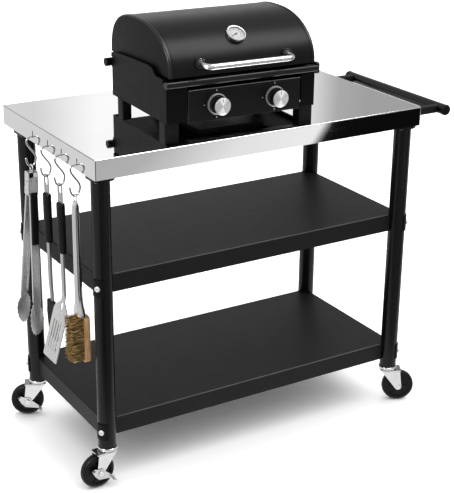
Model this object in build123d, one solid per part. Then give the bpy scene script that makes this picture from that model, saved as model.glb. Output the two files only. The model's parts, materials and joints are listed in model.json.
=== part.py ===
from build123d import *
import math
import os

# ---------------------------------------------------------------- sizes (mm)
SHIFT_X, SHIFT_Y = -22.2556, 5.7811   # centres the whole outline on the origin

H, W, D = 838.0, 914.0, 528.0   # table height, length, depth
APR, T = 48.0, 1.5              # top apron height, sheet thickness

LEG_R, LEG_WALL = 22.25, 2.0
LEG_XF, LEG_XB, LEG_YF, LEG_YB = 428.0, 433.0, -230.0, 178.0
LEG_Z0, LEG_Z1 = 104.0, 783.0
FLANGE_R, FLANGE_T = 33.0, 7.0

SH_X, SH_YF, SH_YB = 438.0, -228.0, 186.0   # shelf outline
SH_H = 46.0                                  # shelf apron height
MID_Z, LOW_Z = 546.5, 172.0                  # shelf top surfaces
BOLT_ANG = 57.0                              # bolt direction from front to side

WHEEL_R, WHEEL_W, TRAIL = 43.5, 25.0, 30.0
CASTER_ANG = {"front_left": 184.0, "front_right": -30.0, "back_left": 157.0, "back_right": 25.0}

BAR_X, BAR_Z, BAR_R = 540.0, H - 20.0, 13.5
BAR_Y0, BAR_Y1 = -258.0, 150.0
ARM_Y = (-235.0, 127.0)

HOOK_X = -W / 2 + T / 2
HOOK_Y = (77.0, -11.0, -89.0, -173.0)
WIRE_R = 1.8
EYE_X = HOOK_X - 8.0            # plane in which the tools hang
EYE_Z = H - 104.7               # where an eye rests over the hook

GX, GY, GROT = -20.0, -33.5, -2.7   # grill position and turn on the table
GW, GYF, GYB = 201.0, -150.0, 158.0
LID_X0, LID_X1, LID_Z, LID_B = -195.5, 197.0, 134.0, 110.0
LID_YF, LID_YB, LID_Y = -154.9, 174.0, 16.2   # front, back and crest of the lid
LID_NF, LID_NB = 2.14, 2.72                   # fullness of the front and back curves
HINGE_Y, HINGE_Z = 172.0, 107.0
KNOB_X, KNOB_Z = (-69.5, 88.0), 61.0

OUT = "parts"
os.makedirs(OUT, exist_ok=True)


# ---------------------------------------------------------------- helpers
def box(x0, x1, y0, y1, z0, z1):
    return Pos((x0 + x1) / 2, (y0 + y1) / 2, (z0 + z1) / 2) * Box(x1 - x0, y1 - y0, z1 - z0)


def cz(x, y, z0, z1, r):
    return Pos(x, y, (z0 + z1) / 2) * Cylinder(r, z1 - z0)


def cx(x0, x1, y, z, r):
    return Pos((x0 + x1) / 2, y, z) * Rot(0, 90, 0) * Cylinder(r, x1 - x0)


def cy(x, y0, y1, z, r):
    return Pos(x, (y0 + y1) / 2, z) * Rot(90, 0, 0) * Cylinder(r, y1 - y0)


def cdir(p, d, r, a, b):
    """Cylinder of radius r about the line p + t d, from t = a to t = b."""
    pl = Plane(origin=(p[0] + d[0] * a, p[1] + d[1] * a, p[2] + d[2] * a), z_dir=d)
    return pl.location * Cylinder(r, b - a, align=(Align.CENTER, Align.CENTER, Align.MIN))


def yz(pts, x0, x1):
    """Extrude a (y, z) outline from x0 to x1."""
    f = make_face(Plane.YZ * Polyline(*pts, close=True))
    return Pos(x0, 0, 0) * extrude(f, amount=x1 - x0, dir=(1, 0, 0))


def xz(pts, y0, y1):
    """Extrude an (x, z) outline from y0 to y1."""
    f = make_face(Plane.XZ * Polyline(*pts, close=True))
    return Pos(0, y0, 0) * extrude(f, amount=y1 - y0, dir=(0, 1, 0))


def rod(pts, r, bend=None):
    path = FilletPolyline(*pts, radius=bend) if bend else Polyline(*pts)
    return sweep(Plane(origin=path @ 0, z_dir=path % 0) * Circle(r), path=path)


def spline_rod(pts, r, t0=None, t1=None):
    path = Spline(*pts, tangents=[t0, t1]) if t0 else Spline(*pts)
    return sweep(Plane(origin=path @ 0, z_dir=path % 0) * Circle(r), path=path)


def group(items):
    out = []
    for it in items:
        out += list(it.solids())
    return Compound(children=out)


def save(name, shape):
    export_step(Pos(SHIFT_X, SHIFT_Y, 0) * shape, os.path.join(OUT, name + ".step"))


CORNERS = {"front_left": (-1, -1), "front_right": (1, -1), "back_left": (-1, 1), "back_right": (1, 1)}


def leg_xy(key):
    sx, sy = CORNERS[key]
    return (sx * LEG_XF, LEG_YF) if sy < 0 else (sx * LEG_XB, LEG_YB)


def bolt_dir(key):
    sx, sy = CORNERS[key]
    return (sx * math.sin(math.radians(BOLT_ANG)), sy * math.cos(math.radians(BOLT_ANG)), 0)


# ---------------------------------------------------------------- top panel
top = box(-W / 2, W / 2, -D / 2, D / 2, H - APR, H)
top = fillet(top.edges().filter_by(Axis.Z), 3.5)
top = fillet(top.faces().sort_by(Axis.Z)[-1].edges(), 2.2)
hollow = box(-W / 2 + T, W / 2 - T, -D / 2 + T, D / 2 - T, H - APR - 5, H - T)
hollow = fillet(hollow.edges().filter_by(Axis.Z), 2.0)
top = top - hollow
for y in HOOK_Y:
    slot = box(-W / 2 - 5, -W / 2 + 5, y - 2.5, y + 2.5, H - 37.3, H - 22)
    slot += cx(-W / 2 - 5, -W / 2 + 5, y, H - 22, 2.5)
    top -= slot
ARM_SCREW_Z = (BAR_Z - 6.0, BAR_Z + 6.0)
for y in ARM_Y:
    for z in ARM_SCREW_Z:
        top -= cx(W / 2 - 5, W / 2 + 5, y, z, 2.6)
save("top_panel", top)

# stiffeners under the top: hat channels along the length
stiff = []
for y in (-95.0, 95.0):
    s = xz([(-430, H - 31.5), (430, H - 31.5), (430, H - T), (-430, H - T)], y - 30, y + 30)
    s -= box(-440, 440, y - 28.5, y + 28.5, H - 30, H + 1)
    stiff.append(s)
save("top_stiffeners", group(stiff))

# corner blocks between the top and the leg flanges
blocks, flanges, screws, inserts = [], [], [], []
for key, (sx, sy) in CORNERS.items():
    lx, ly = leg_xy(key)
    x0, x1 = (399.0, W / 2 - T - 0.1) if sx > 0 else (-(W / 2 - T - 0.1), -399.0)
    y0, y1 = (-(D / 2 - T - 0.1), -198.0) if sy < 0 else (144.0, 212.0)
    b = box(x0, x1, y0, y1, H - APR, H - T)
    b = fillet(b.edges().filter_by(Axis.Z), 2.6)
    b -= box(x0 + 2, x1 - 2, y0 + 2, y1 - 2, H - APR + 2.5, H + 1)
    fl = cz(lx, ly, LEG_Z1, LEG_Z1 + FLANGE_T, FLANGE_R)
    fl &= box(-W / 2 + 1, W / 2 - 1, -D / 2 + 1, D / 2 - 1, LEG_Z1 - 1, LEG_Z1 + FLANGE_T + 1)
    for a in (45, 135, 225, 315):
        px, py = lx + 28.2 * math.cos(math.radians(a)), ly + 28.2 * math.sin(math.radians(a))
        if abs(px) > W / 2 - 6:
            px = math.copysign(W / 2 - 6, px)
        hole = cz(px, py, LEG_Z1 - 1, H - APR + 5, 2.45)
        b -= hole
        fl -= hole
        sc = cz(px, py, LEG_Z1 - 2.4, LEG_Z1, 3.9)
        sc = fillet(sc.edges().group_by(Axis.Z)[0], 1.4)
        screws.append(sc + cz(px, py, LEG_Z1, H - APR + 4.5, 2.4))
    if key == "front_right":
        for z in ARM_SCREW_Z:
            b -= cx(W / 2 - 8, W / 2 + 1, ARM_Y[0], z, 2.6)
    blocks.append(b)
    flanges.append(fl)
    ins = cz(lx, ly, LEG_Z0 + 0.3, LEG_Z0 + 42, LEG_R - LEG_WALL - 0.05) - cz(lx, ly, LEG_Z0 - 1, LEG_Z0 + 47, 5.55)
    inserts.append(ins)
save("corner_blocks", group(blocks))
save("leg_flanges", group(flanges))
save("leg_sockets", group(inserts))

# ---------------------------------------------------------------- legs
for key in CORNERS:
    lx, ly = leg_xy(key)
    leg = cz(lx, ly, LEG_Z0, LEG_Z1, LEG_R) - cz(lx, ly, LEG_Z0 - 1, LEG_Z1 + 1, LEG_R - LEG_WALL)
    for zt in (MID_Z, LOW_Z):
        leg -= cdir((lx, ly, zt - SH_H / 2), bolt_dir(key), 3.05, -40, 40)
    save("leg_" + key, leg)

# ---------------------------------------------------------------- shelves
NOTCH_R, COLLAR_R = LEG_R + 0.15, LEG_R + 2.8


def shelf(zt):
    s = box(-SH_X, SH_X, SH_YF, SH_YB, zt - SH_H, zt)
    s = fillet(s.faces().sort_by(Axis.Z)[-1].edges(), 2.5)
    s -= box(-SH_X + T, SH_X - T, SH_YF + T, SH_YB - T, zt - SH_H - 1, zt - T)
    rim = box(-SH_X, SH_X, SH_YF, SH_YB, zt - SH_H, zt - SH_H + T)
    rim -= box(-SH_X + 12, SH_X - 12, SH_YF + 12, SH_YB - 12, zt - SH_H - 1, zt - SH_H + T + 1)
    s += rim
    outline = box(-SH_X, SH_X, SH_YF, SH_YB, zt - SH_H, zt)
    for key in CORNERS:
        lx, ly = leg_xy(key)
        s += cz(lx, ly, zt - SH_H, zt, COLLAR_R) & outline
    for key in CORNERS:
        lx, ly = leg_xy(key)
        d = bolt_dir(key)
        p = (lx, ly, zt - SH_H / 2)
        nut = Plane(origin=(p[0] - d[0] * (COLLAR_R - 0.4), p[1] - d[1] * (COLLAR_R - 0.4), p[2]),
                    z_dir=(-d[0], -d[1], 0)).location * extrude(RegularPolygon(5.8, 6), amount=5.4)
        s += nut
        s -= cz(lx, ly, zt - SH_H - 1, zt + 1, NOTCH_R)
        s -= cdir(p, d, 3.05, -40, 0)
    return s


save("middle_shelf", shelf(MID_Z))
save("lower_shelf", shelf(LOW_Z))

saddles, bolts = [], []
SAD_R0, SAD_R1 = LEG_R + 0.1, LEG_R + 2.6
for zt in (MID_Z, LOW_Z):
    for key in CORNERS:
        lx, ly = leg_xy(key)
        d = bolt_dir(key)
        zc = zt - SH_H / 2
        ring = cz(0, 0, -21, 21, SAD_R1) - cz(0, 0, -22, 22, SAD_R0)
        ang = math.degrees(math.atan2(d[1], d[0]))
        wedge = make_face(Plane.XY * Polyline((0, 0), (60, -52), (60, 52), close=True))
        sad = ring & (Pos(0, 0, -25) * extrude(wedge, amount=50))
        sad &= Rot(0, 90, 0) * (Box(42, 40, 80) & (Rot(0, 0, 45) * Box(50, 50, 80)))
        sad = Pos(lx, ly, zc) * Rot(0, 0, ang) * sad
        sad -= cdir((lx, ly, zc), d, 3.05, 0, 40)
        saddles.append(sad)
        hd = cdir((0, 0, 0), (0, 0, 1), 6.8, SAD_R1, SAD_R1 + 4.2)
        hd = fillet(hd.edges().group_by(Axis.Z)[-1], 2.6)
        hd -= Pos(0, 0, SAD_R1 + 2.0) * extrude(RegularPolygon(2.3, 6), amount=5)
        hd += cdir((0, 0, 0), (0, 0, 1), 3.0, -(COLLAR_R + 5.5), SAD_R1)
        bolts.append(Plane(origin=(lx, ly, zc), z_dir=d).location * hd)
save("shelf_saddles", group(saddles))
save("shelf_bolts", group(bolts))

# ---------------------------------------------------------------- push handle
bar = cy(BAR_X, BAR_Y0, BAR_Y1, BAR_Z, BAR_R) - cy(BAR_X, BAR_Y0 - 1, BAR_Y1 + 1, BAR_Z, BAR_R - 2)
save("handle_bar", bar)
caps = []
for y0, s in ((BAR_Y0, -1), (BAR_Y1, 1)):
    c = cy(BAR_X, min(y0, y0 + 8 * s), max(y0, y0 + 8 * s), BAR_Z, BAR_R + 0.6)
    c = fillet(c.edges().group_by(Axis.Y)[0 if s < 0 else -1], 4.5)
    plug = cy(BAR_X, min(y0, y0 - 12 * s), max(y0, y0 - 12 * s), BAR_Z, BAR_R - 2.05)
    caps.append(c + plug)
save("handle_caps", group(caps))
arms = []
for i, y in enumerate(ARM_Y):
    a = box(W / 2 + 0.02, BAR_X, y - 8, y + 8, BAR_Z - 11, BAR_Z + 11)
    a = fillet(a.edges().filter_by(Axis.X), 5.5)
    a += fillet((box(W / 2 + 0.02, W / 2 + 4, y - 13, y + 13, BAR_Z - 17, BAR_Z + 17)).edges().filter_by(Axis.X), 6)
    a -= cy(BAR_X, y - 30, y + 30, BAR_Z, BAR_R + 0.02)
    a -= box(BAR_X, BAR_X + 40, y - 30, y + 30, BAR_Z - 40, BAR_Z + 40)
    for z in ARM_SCREW_Z:
        a -= cx(W / 2 - 1, W / 2 + 26, y, z, 2.6)
        face = W / 2 - T if i else W / 2 - T - 2.1
        sc = cx(face - 2.6, face, y, z, 4.2) + cx(face, W / 2 + 24, y, z, 2.5)
        screws.append(sc)
    arms.append(a)
save("handle_arms", group(arms))
save("frame_screws", group(screws))

# ---------------------------------------------------------------- casters
AX_Z = WHEEL_R
FORK_IN, FORK_T = 15.0, 2.5
FORK_OUT = FORK_IN + FORK_T
CROWN_Z = LEG_Z0 - 11.0          # top of the caster's crown plate


def swivel(braked):
    s = cz(0, 0, CROWN_Z, LEG_Z0 + 38, 5.5)
    race = cz(0, 0, LEG_Z0 - 8.2, LEG_Z0 - 0.6, 24.6)
    race = fillet(race.edges(), 2.4)
    s += race
    s += fillet(cz(0, 0, CROWN_Z, LEG_Z0 - 6.0, 22.0).edges().group_by(Axis.Z)[-1], 1.5)
    crown = box(-21, 36, -FORK_OUT, FORK_OUT, CROWN_Z - 3, CROWN_Z)
    crown = fillet(crown.edges().filter_by(Axis.Z).group_by(Axis.X)[0], 9)
    crown = fillet(crown.edges().filter_by(Axis.Z).group_by(Axis.X)[-1], 3)
    s += crown
    prof = [(-19, CROWN_Z - 0.5), (33, CROWN_Z - 0.5), (38.9, AX_Z + 1), (23.2, AX_Z - 5.8)]
    for y0, y1 in ((-FORK_OUT, -FORK_IN), (FORK_IN, FORK_OUT)):
        s += xz(prof, y0, y1) + cy(TRAIL, y0, y1, AX_Z, 9.0)
    end = 24.0 if braked else 20.5
    s += cy(TRAIL, -20.5, end, AX_Z, 4.0)
    h0 = cy(TRAIL, -20.5, -FORK_OUT, AX_Z, 7.0)
    h1 = cy(TRAIL, end - 3.0, end, AX_Z, 7.0)
    s += fillet(h0.edges().group_by(Axis.Y)[0], 1.5)
    s += fillet(h1.edges().group_by(Axis.Y)[-1], 1.5)
    return s


def wheel():
    w = cy(TRAIL, -WHEEL_W / 2, WHEEL_W / 2, AX_Z, WHEEL_R)
    w = fillet(w.edges(), 5.5)
    for s in (-1, 1):
        a, b = sorted((s * (WHEEL_W / 2 - 3.5), s * (WHEEL_W / 2 + 5)))
        w -= cy(TRAIL, a, b, AX_Z, 31.5) - cy(TRAIL, a, b, AX_Z, 13)
    w += cy(TRAIL, -14.6, 14.6, AX_Z, 11)
    return w - cy(TRAIL, -30, 30, AX_Z, 4.05)


def brake():
    pts = [(48, 60), (55, 55), (46, 38), (36, 28), (22, 26), (6, 24), (-5, 19), (-8, 22), (2, 32), (17, 45), (31, 54)]
    b = xz(pts, 18.0, 20.4) + cy(TRAIL, 18.0, 20.4, AX_Z, 11.5)
    b += xz([(-6.6, 22), (-4.6, 19.9), (2.4, 23.1), (0.8, 26.6)], 19.0, 34) + xz([(48.6, 58.6), (53.6, 54.9), (52.0, 52.0), (47.2, 55.4)], 19.0, 27)
    return b - cy(TRAIL, 10, 30, AX_Z, 4.05)


for key in CORNERS:
    lx, ly = leg_xy(key)
    at = Pos(lx, ly, 0) * Rot(0, 0, CASTER_ANG[key])
    braked = key.endswith("left")
    save("swivel_" + key, at * swivel(braked))
    save("wheel_" + key, at * wheel())
    if braked:
        save("brake_" + key, at * brake())

# ---------------------------------------------------------------- hooks
def s_hook(y):
    pts = [(9, -47), (7.5, -39.5), (3, -35.2), (0, -34.6), (-6, -34.2), (-13, -36.5), (-17.5, -42), (-16.5, -50), (-10, -61),
           (-1, -73), (4.5, -84), (4, -94), (0, -103), (-8, -107), (-15.5, -103), (-19, -95), (-20.5, -86)]
    return spline_rod([(HOOK_X + px, y, H + pz) for px, pz in pts], WIRE_R)


for i, y in enumerate(HOOK_Y):
    save("s_hook_%d" % (i + 1), s_hook(y))

# ---------------------------------------------------------------- tools
def strap(y, z0, z1, w0, w1, t=2.0, x=EYE_X):
    """Flat strap hanging in the plane x, width along y, from z0 (top) to z1."""
    return yz([(y - w0 / 2, z0), (y + w0 / 2, z0), (y + w1 / 2, z1), (y - w1 / 2, z1)], x - t / 2, x + t / 2)


def eye_strap(y, w, hole_w, hole_h, z_end):
    zt = EYE_Z + 3.4
    s = box(EYE_X - 1, EYE_X + 1, y - w / 2, y + w / 2, z_end, zt)
    s = fillet(s.edges().filter_by(Axis.X).group_by(Axis.Z)[-1], w / 2 - 0.6)
    hole = box(EYE_X - 5, EYE_X + 5, y - hole_w / 2, y + hole_w / 2, EYE_Z - hole_h, EYE_Z)
    hole = fillet(hole.edges().filter_by(Axis.X), hole_w / 2 - 0.4)
    return s - hole


def grip(y, z0, z1, a, b, hole_a, hole_b):
    """Oval grip: a along y, b along x, with a slot for the strap."""
    f = Pos(EYE_X, y, z0) * extrude(Ellipse(b, a), amount=z1 - z0)
    f = fillet(f.edges(), 5.0)
    return f - box(EYE_X - hole_b, EYE_X + hole_b, y - hole_a, y + hole_a, z0 - 1, z1 + 1)


# spatula, black head
y2 = HOOK_Y[1]
sp = eye_strap(y2, 26, 15, 24, H - 149.8)
sp += strap(y2, H - 149, H - 286, 18, 18)
sp += yz([(y2 - 8, H - 274.1), (y2 + 8, H - 274.1), (y2 + 7, H - 372), (y2 - 7, H - 372)], EYE_X - 3, EYE_X + 3)
bend = xz([(EYE_X - 3, H - 370), (EYE_X + 3, H - 370), (EYE_X + 5, H - 446), (EYE_X + 1.5, H - 446)], y2 - 7, y2 + 7)
sp += bend
save("spatula_shaft", sp)
save("spatula_grip", grip(y2, H - 274, H - 150, 15.5, 9.0, 9.03, 1.03))
head = xz([(EYE_X - 2, H - 432), (EYE_X + 8, H - 432), (EYE_X + 8.5, H - 462), (EYE_X + 4, H - 532),
           (EYE_X, H - 532), (EYE_X - 3.5, H - 462)], y2 - 23, y2 + 23)
head -= bend
save("spatula_head", head)

# slotted turner
y3 = HOOK_Y[2]
BL_T = 16.0
tu = eye_strap(y3, 26, 14, 22, H - 149.8)
tu += strap(y3, H - 149, H - 286, 18, 18)
tu += strap(y3, H - 276.1, H - 387, 16, 14, 5.0)
blade_pts = [(-7.5, 8), (7.5, 8), (11, -14), (33, -30), (37, -40), (37, -158), (34, -161), (-34, -161), (-37, -158),
             (-37, -40), (-33, -30), (-11, -14)]
bl = yz(blade_pts, -1, 1)
for yy in (-19.5, -6.5, 6.5, 19.5):
    sl = box(-5, 5, yy - 2.2, yy + 2.2, -136, -64)
    bl -= fillet(sl.edges().filter_by(Axis.X), 2.0)
neck = box(-5, 5, -5, 5, -34, -16)
bl -= fillet(neck.edges().filter_by(Axis.X), 4.6)
tu += Pos(EYE_X, y3, H - 388) * Rot(0, BL_T, 0) * bl
save("turner_blade", tu)
save("turner_grip", grip(y3, H - 276, H - 150, 15.5, 9.0, 9.03, 1.03))

# brush: tube handle, wood block, brass bristles
y4 = HOOK_Y[3]
br = eye_strap(y4, 18, 9, 14, H - 140)
tube = Pos(EYE_X, y4, H - 352) * extrude(Ellipse(9.5, 10.5), amount=222)
tube = fillet(tube.edges().group_by(Axis.Z)[-1], 6.0)
br += tube
br += loft([Pos(EYE_X + 1, y4, H - 401.98) * RectangleRounded(19, 45, 5), Pos(EYE_X + 1, y4, H - 392) * RectangleRounded(19, 41, 6),
            Pos(EYE_X, y4, H - 350) * RectangleRounded(17.5, 19, 7)])
save("brush_handle", br)
blk = box(EYE_X + 2.02, EYE_X + 22, y4 - 24, y4 + 24, H - 520, H - 402)
blk = fillet(blk.edges().filter_by(Axis.X), 5)
blk = fillet(blk.faces().sort_by(Axis.X)[-1].edges(), 2.5)
save("brush_block", blk)
bris = box(EYE_X - 36, EYE_X + 2, y4 - 21, y4 + 21, H - 516, H - 405)
bris = fillet(bris.edges().filter_by(Axis.X), 4)
save("brush_bristles", bris)

# tongs: two arms on a pin, opening along y
y1 = HOOK_Y[0]
PIN_Z = H - 142.0
TONG_L, TONG_R = 7.8, 3.6        # opening of the two arms
TONG_LEAN = 2.3
CLAW_Z, CLAW_R = -360.0, 95.0


def claw():
    """Dished scalloped claw, hollow side towards +y, centred under the arm."""
    n, pts = 72, []
    for k in range(n):
        t = 2 * math.pi * k / n
        rr = 1 + 0.045 * math.cos(18 * t)
        pts.append((17.5 * rr * math.cos(t), 42 * rr * math.sin(t)))
    dish = xz(pts, -CLAW_R - 20, -20) & (Sphere(CLAW_R + 1.8) - Sphere(CLAW_R))
    return Pos(0, CLAW_R, CLAW_Z) * dish


def arm_strip():
    a = xz([(-9.5, -10), (9.5, -10), (9.5, -60), (10, -312), (7, -352), (-7, -352), (-10, -312), (-9.5, -60)], -1.8, 0)
    a += xz([(-9.5, -30), (-7.7, -30), (-7.7, -312), (-9.8, -312)], -0.5, 4.5)
    a += xz([(7.7, -30), (9.5, -30), (9.8, -312), (7.7, -312)], -0.5, 4.5)
    return a


def tong_arm():
    return arm_strip() + claw()


at_pin = Pos(EYE_X, y1, PIN_Z)
lean = Pos(EYE_X, y1, EYE_Z) * Rot(0, TONG_LEAN, 0) * Pos(-EYE_X, -y1, -EYE_Z)
ring = Pos(EYE_X, y1, EYE_Z - 6.5) * Rot(0, 90, 0) * Torus(8.1, 1.6)
headu = box(EYE_X - 12.5, EYE_X + 12.5, y1 - 12, y1 + 12, H - 178, H - 119.5)
headu = fillet(headu.edges().filter_by(Axis.X).group_by(Axis.Z)[-1], 5)
headu -= box(EYE_X - 10.6, EYE_X + 10.6, y1 - 20, y1 + 20, H - 200, H - 121.5)
pin = cx(EYE_X - 13.4, EYE_X + 13.4, y1, PIN_Z, 2.5)
pin += cx(EYE_X - 15.2, EYE_X - 12.0, y1, PIN_Z, 4.0) + cx(EYE_X + 12.0, EYE_X + 15.2, y1, PIN_Z, 4.0)
arm_l = at_pin * Rot(TONG_L, 0, 0) * Rot(0, 0, 180) * Pos(0, -9, 0) * tong_arm()
arm_l -= cx(EYE_X - 20, EYE_X + 20, y1, PIN_Z, 6.5)
tie = box(EYE_X - 12.5, EYE_X + 12.5, y1 + 11.0, y1 + 13.6, H - 178, H - 160)
save("tongs_arm_left", lean * (ring + headu + tie + arm_l + pin))
knuckle = cx(EYE_X - 9.5, EYE_X + 9.5, y1, PIN_Z, 5.5)
web = xz([(-9.5, -14), (9.5, -14), (9.5, -1), (-9.5, -1)], -9.5, -1)
arm_r = at_pin * Rot(-TONG_R, 0, 0) * (Pos(0, -9, 0) * tong_arm() + web) + knuckle
arm_r -= cx(EYE_X - 20, EYE_X + 20, y1, PIN_Z, 2.55)
save("tongs_arm_right", lean * arm_r)
pad = box(-8.5, 8.5, -7.8, -1.83, -162, -30)
pad = fillet(pad.faces().sort_by(Axis.Y)[0].edges(), 3.5)
save("tongs_pad_left", lean * at_pin * Rot(TONG_L, 0, 0) * Rot(0, 0, 180) * Pos(0, -9, 0) * pad)
save("tongs_pad_right", lean * at_pin * Rot(-TONG_R, 0, 0) * Pos(0, -9, 0) * pad)

# ---------------------------------------------------------------- grill
GL = Pos(GX, GY, H + 0.05) * Rot(0, 0, GROT)


def gsave(name, shape):
    save(name, GL * shape)


# end panels: bent sheet with a front column face, a back flange and hinge ears
side = [(-150, 26), (-150, 110), (-140, 110), (-140, 131), (-108, 131), (-100, 132.2), (-93, 136), (-87, 142),
        (-80, 146), (-62, 148.5), (20, 146), (109, 141.5), (140, 139), (152, 134.5), (158, 126), (158, 26)]
panels = []
for s in (-1, 1):
    xo, xi = s * GW, s * (GW - 2.5)
    p = yz(side, min(xo, xi), max(xo, xi))
    fx = s * (146.5 if s < 0 else 162.5)
    p += box(min(xo, fx), max(xo, fx), -150, -147.5, 26, 110)
    bx = s * 174.0
    p += box(min(xo, bx), max(xo, bx), 155.5, 158, 26, 126)
    ear = yz([(155.5, 89), (178, 89), (184, 96), (184, 112), (179, 116.5), (167, 116.5), (163.5, 109), (155.5, 107)],
             min(s * 188, s * 192), max(s * 188, s * 192))
    p += ear
    p += cx(min(s * 176.5, s * 212), max(s * 176.5, s * 212), HINGE_Y, HINGE_Z, 4.0)
    p += cx(min(s * 191, s * 213), max(s * 191, s * 213), HINGE_Y, HINGE_Z, 10.5)
    lip = [q for q in side[(3 if s < 0 else 4):14]]
    if s > 0:
        lip[0] = (-133.5, 131)
    else:
        lip[0] = (-139.9, 131)
    low = [(q[0], q[1] - 9) for q in reversed(lip)]
    p += yz(lip + low, min(xo - s * 0.5, s * (GW + 4.5)), max(xo - s * 0.5, s * (GW + 4.5)))
    p = fillet(p.edges().filter_by(Axis.Z).filter_by_position(Axis.Y, -150.1, -149.9).group_by(Axis.X)[0 if s < 0 else -1], 2.0)
    panels.append(p)
gsave("grill_end_panels", group(panels))

feet = []
for s in (-1, 1):
    f = box(min(s * 202, s * 164), max(s * 202, s * 164), -142, -110, 0, 25.95)
    feet.append(fillet(f.edges().filter_by(Axis.Z), 4))
    f = box(min(s * 202, s * 176), max(s * 202, s * 176), 98, 128, 0, 25.95)
    feet.append(fillet(f.edges().filter_by(Axis.Z), 4))
gsave("grill_feet", group(feet))

# firebox with drip opening, tray rails and burner holes
fb = box(-198.5, 198.5, -128, 140, 36, 126) - box(-196.5, 196.5, -126, 138, 38, 130)
fb -= box(-40, 40, -30, 50, 30, 45)
for s in (-1, 1):
    fb += box(min(s * 98, s * 100), max(s * 98, s * 100), -100, 138, 28, 37)
    fb += box(min(s * 91.5, s * 100), max(s * 91.5, s * 100), -100, 138, 27, 29)
for s in (-1, 1):
    for y in (-85.0, 97.0):
        fb += box(min(s * 186, s * 197), max(s * 186, s * 197), y - 9, y + 9, 101.5, 105.45)
for kx in KNOB_X:
    fb -= cy(kx, -135, -120, KNOB_Z, 7.1)
gsave("firebox", fb)

tray = box(-90, 90, -96, 136, 14, 33) - box(-88.5, 88.5, -94.5, 134.5, 15.5, 40)
tray += box(-97, 97, -96, 136, 31.5, 33) - box(-88.5, 88.5, -94.5, 134.5, 30, 40)
tray += box(-45, 45, 136, 150, 31.5, 33)
gsave("drip_tray", tray)

rail = box(-203, 205, -158, -140.02, 110.02, 126)
rail = fillet(rail.edges().filter_by(Axis.X), 5)
rail += fillet(box(204, 211, -154, -134, 104, 131).edges().filter_by(Axis.X), 4)
gsave("grill_rail", rail)

cp = box(-144, 160, -150, -148, 22, 100)
cp += box(-144, 160, -149, -128.02, 98, 100) + box(-144, 160, -149, -132, 22, 24)
cp += box(-144, -142, -149, -132, 22, 100) + box(158, 160, -149, -132, 22, 100)
cp = fillet(cp.faces().sort_by(Axis.Y)[0].edges(), 1.6)
for kx in KNOB_X:
    cp -= cy(kx, -160, -140, KNOB_Z, 5.2)
gsave("control_panel", cp)

burners = []
for kx in KNOB_X:
    b = cy(kx, -112, 122, KNOB_Z, 11.0) - cy(kx, -110, 120, KNOB_Z, 9.5)
    for k in range(8):
        b -= cx(kx - 20, kx + 20, -90 + 27 * k, KNOB_Z + 3, 1.5)
    b += cy(kx, -140, -111, KNOB_Z, 7.0) + cy(kx, -146.5, -131, KNOB_Z, 10.5)
    b += cy(kx, -168, -146, KNOB_Z, 4.0)
    burners.append(b)
gsave("burners", group(burners))

tents = []
for kx in KNOB_X:
    t = xz([(kx - 32, 82), (kx, 99), (kx + 32, 82), (kx + 32, 83.8), (kx, 100.8), (kx - 32, 83.8)], -125.98, 137.98)
    tents.append(t)
gsave("heat_plates", group(tents))

bars = [cx(-193.0, 193.0, y, 109, 3.5) for y in (-85, 6, 97)]
g = bars[0] + bars[1] + bars[2]
for k in range(15):
    g += cy(-182 + 26 * k, -123.5, 135.5, 114.0, 3.0)
gsave("cooking_grate", g)

# lid: barrel with flat ends, end bands, hinge lugs
def lid_z(y, d=0.0):
    """Height of the lid's curve, grown by d, at depth y."""
    if y < LID_Y:
        u, n = (LID_Y - y) / (LID_Y - LID_YF + d), LID_NF
    else:
        u, n = (y - LID_Y) / (LID_YB - LID_Y + d), LID_NB
    return LID_Z + (LID_B + d) * max(0.0, 1 - u ** n) ** (1 / n)


def barrel_face(d, x):
    pts = []
    for k in range(0, 13):
        t = math.radians(90 * k / 12)
        pts.append((x, LID_Y - (LID_Y - LID_YF + d) * math.cos(t) ** (2 / LID_NF), LID_Z + (LID_B + d) * math.sin(t) ** (2 / LID_NF)))
    for k in range(11, -1, -1):
        t = math.radians(90 * k / 12)
        pts.append((x, LID_Y + (LID_YB - LID_Y + d) * math.cos(t) ** (2 / LID_NB), LID_Z + (LID_B + d) * math.sin(t) ** (2 / LID_NB)))
    curve = Spline(*pts, tangents=[(0, 0, 1), (0, 0, -1)])
    return make_face([curve, Line(pts[-1], pts[0])])


def barrel(d, x0, x1):
    return extrude(barrel_face(d, x0), amount=x1 - x0, dir=(1, 0, 0))


lid = barrel(0.0, LID_X0, LID_X1) + barrel(0.9, LID_X0, LID_X0 + 8) + barrel(0.9, LID_X1 - 8, LID_X1)
lid -= barrel(-2.0, LID_X0 + 2, LID_X1 - 2)
for s in (-1, 1):
    lug = yz([(160, 134), (160, 110), (166, 98), (181, 98), (184, 110), (184, 134), (179, 150), (170, 150)],
             min(s * 178, s * 186), max(s * 178, s * 186))
    lug -= barrel(-1.0, LID_X0 + 2, LID_X1 - 2)
    lid += lug
    lid -= cx(s * 182 - 15, s * 182 + 15, HINGE_Y, HINGE_Z, 4.05)

TH_X, TH_Y = -2.0, -113.5
TH_Z = lid_z(TH_Y)
slope = (lid_z(TH_Y + 0.01) - lid_z(TH_Y - 0.01)) / 0.02
TH_N = (0, -slope / math.hypot(1, slope), 1 / math.hypot(1, slope))
TH_P = Plane(origin=(TH_X, TH_Y, TH_Z), x_dir=(1, 0, 0), z_dir=TH_N)
lid -= TH_P.location * Cylinder(5.1, 30)
HS_X, HS_Y = 116.0, -150.0
hz = lid_z(HS_Y)
gsave("grill_lid", lid)

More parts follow.
